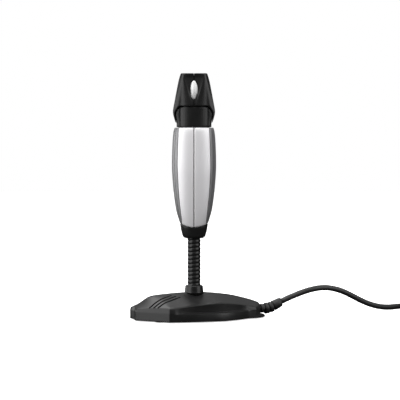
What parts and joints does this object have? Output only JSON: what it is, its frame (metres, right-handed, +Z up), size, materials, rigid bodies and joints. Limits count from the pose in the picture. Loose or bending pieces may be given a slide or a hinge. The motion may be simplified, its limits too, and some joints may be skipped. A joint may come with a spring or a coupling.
{
  "type": "desktop microphone",
  "caption": "Slim desktop microphone: torpedo body and faceted head on a bendable gooseneck, weighted teardrop base, cable with a jack plug.",
  "frame": {"origin": "on the standing surface under the middle of the base", "axes": "-X towards the front of the base, +X towards the rear where the cable leaves, +Z up"},
  "size_m": [0.2862, 0.0672, 0.1768],
  "materials": {
    "black_satin": "satin moulded black",
    "black_matt": "matt black",
    "black_rubber": "matt rubber",
    "cable_black": "matt jacket",
    "silver_paint": "satin silver paint",
    "grey_inlay": "satin grey",
    "chrome": "polished",
    "steel": "plated",
    "foam": "open foam",
    "tie": "moulded tie"
  },
  "bodies": {
    "base": {"base_top_shell": "black_satin", "base_bottom_plate": "black_matt", "base_weight": "steel", "neck_ferrule": "black_satin", "neck_nut": "steel", "strain_relief": "black_rubber", "cable_run": "cable_black", "cable_coil": "cable_black", "coil_tie": "tie", "plug_grip": "black_rubber", "plug_sleeve": "chrome", "plug_tip": "chrome", "base_screw_1": "steel", "base_screw_2": "steel", "base_screw_3": "steel", "base_screw_4": "steel", "rubber_foot_1": "black_rubber", "rubber_foot_2": "black_rubber", "rubber_foot_3": "black_rubber", "rubber_foot_4": "black_rubber"},
    "turn_01": {"gooseneck_turn_01": "black_satin"},
    "turn_02": {"gooseneck_turn_02": "black_satin"},
    "turn_03": {"gooseneck_turn_03": "black_satin"},
    "turn_04": {"gooseneck_turn_04": "black_satin"},
    "turn_05": {"gooseneck_turn_05": "black_satin"},
    "turn_06": {"gooseneck_turn_06": "black_satin"},
    "turn_07": {"gooseneck_turn_07": "black_satin"},
    "turn_08": {"gooseneck_turn_08": "black_satin"},
    "turn_09": {"gooseneck_turn_09": "black_satin"},
    "turn_10": {"gooseneck_turn_10": "black_satin"},
    "turn_11": {"gooseneck_turn_11": "black_satin"},
    "turn_12": {"gooseneck_turn_12": "black_satin"},
    "neck_end": {"neck_socket": "steel"},
    "microphone": {"lower_boot": "black_satin", "front_shell": "silver_paint", "rear_shell": "silver_paint", "front_panel": "grey_inlay", "rear_panel": "grey_inlay", "collar": "black_satin", "head_front_shell": "black_satin", "head_rear_shell": "black_satin", "near_insert": "chrome", "far_insert": "chrome", "grille": "black_matt", "foam_pad": "foam", "capsule": "steel", "capsule_grommet": "black_rubber"}
  },
  "joints": [
    {"name": "fore_aft_bend_1", "type": "hinge", "parent": "base", "child": "turn_01", "pos_m": [-0.0041, 0, 0.0238], "axis": [0, 1, 0], "range_deg": [-7, 7]},
    {"name": "side_bend_1", "type": "hinge", "parent": "turn_01", "child": "turn_02", "pos_m": [-0.0041, 0, 0.02665], "axis": [1, 0, 0], "range_deg": [-7, 7]},
    {"name": "fore_aft_bend_2", "type": "hinge", "parent": "turn_02", "child": "turn_03", "pos_m": [-0.0041, 0, 0.0295], "axis": [0, 1, 0], "range_deg": [-7, 7]},
    {"name": "side_bend_2", "type": "hinge", "parent": "turn_03", "child": "turn_04", "pos_m": [-0.0041, 0, 0.03235], "axis": [1, 0, 0], "range_deg": [-7, 7]},
    {"name": "fore_aft_bend_3", "type": "hinge", "parent": "turn_04", "child": "turn_05", "pos_m": [-0.0041, 0, 0.0352], "axis": [0, 1, 0], "range_deg": [-7, 7]},
    {"name": "side_bend_3", "type": "hinge", "parent": "turn_05", "child": "turn_06", "pos_m": [-0.0041, 0, 0.03805], "axis": [1, 0, 0], "range_deg": [-7, 7]},
    {"name": "fore_aft_bend_4", "type": "hinge", "parent": "turn_06", "child": "turn_07", "pos_m": [-0.0041, 0, 0.0409], "axis": [0, 1, 0], "range_deg": [-7, 7]},
    {"name": "side_bend_4", "type": "hinge", "parent": "turn_07", "child": "turn_08", "pos_m": [-0.0041, 0, 0.04375], "axis": [1, 0, 0], "range_deg": [-7, 7]},
    {"name": "fore_aft_bend_5", "type": "hinge", "parent": "turn_08", "child": "turn_09", "pos_m": [-0.0041, 0, 0.0466], "axis": [0, 1, 0], "range_deg": [-7, 7]},
    {"name": "side_bend_5", "type": "hinge", "parent": "turn_09", "child": "turn_10", "pos_m": [-0.0041, 0, 0.04945], "axis": [1, 0, 0], "range_deg": [-7, 7]},
    {"name": "fore_aft_bend_6", "type": "hinge", "parent": "turn_10", "child": "turn_11", "pos_m": [-0.0041, 0, 0.0523], "axis": [0, 1, 0], "range_deg": [-7, 7]},
    {"name": "side_bend_6", "type": "hinge", "parent": "turn_11", "child": "turn_12", "pos_m": [-0.0041, 0, 0.05515], "axis": [1, 0, 0], "range_deg": [-7, 7]},
    {"name": "fore_aft_bend_7", "type": "hinge", "parent": "turn_12", "child": "neck_end", "pos_m": [-0.0041, 0, 0.058], "axis": [0, 1, 0], "range_deg": [-7, 7]},
    {"name": "microphone_swivel", "type": "hinge", "parent": "neck_end", "child": "microphone", "pos_m": [-0.0041, 0, 0.0584], "axis": [0, 0, 1], "range_deg": [-74, 106]}
  ]
}
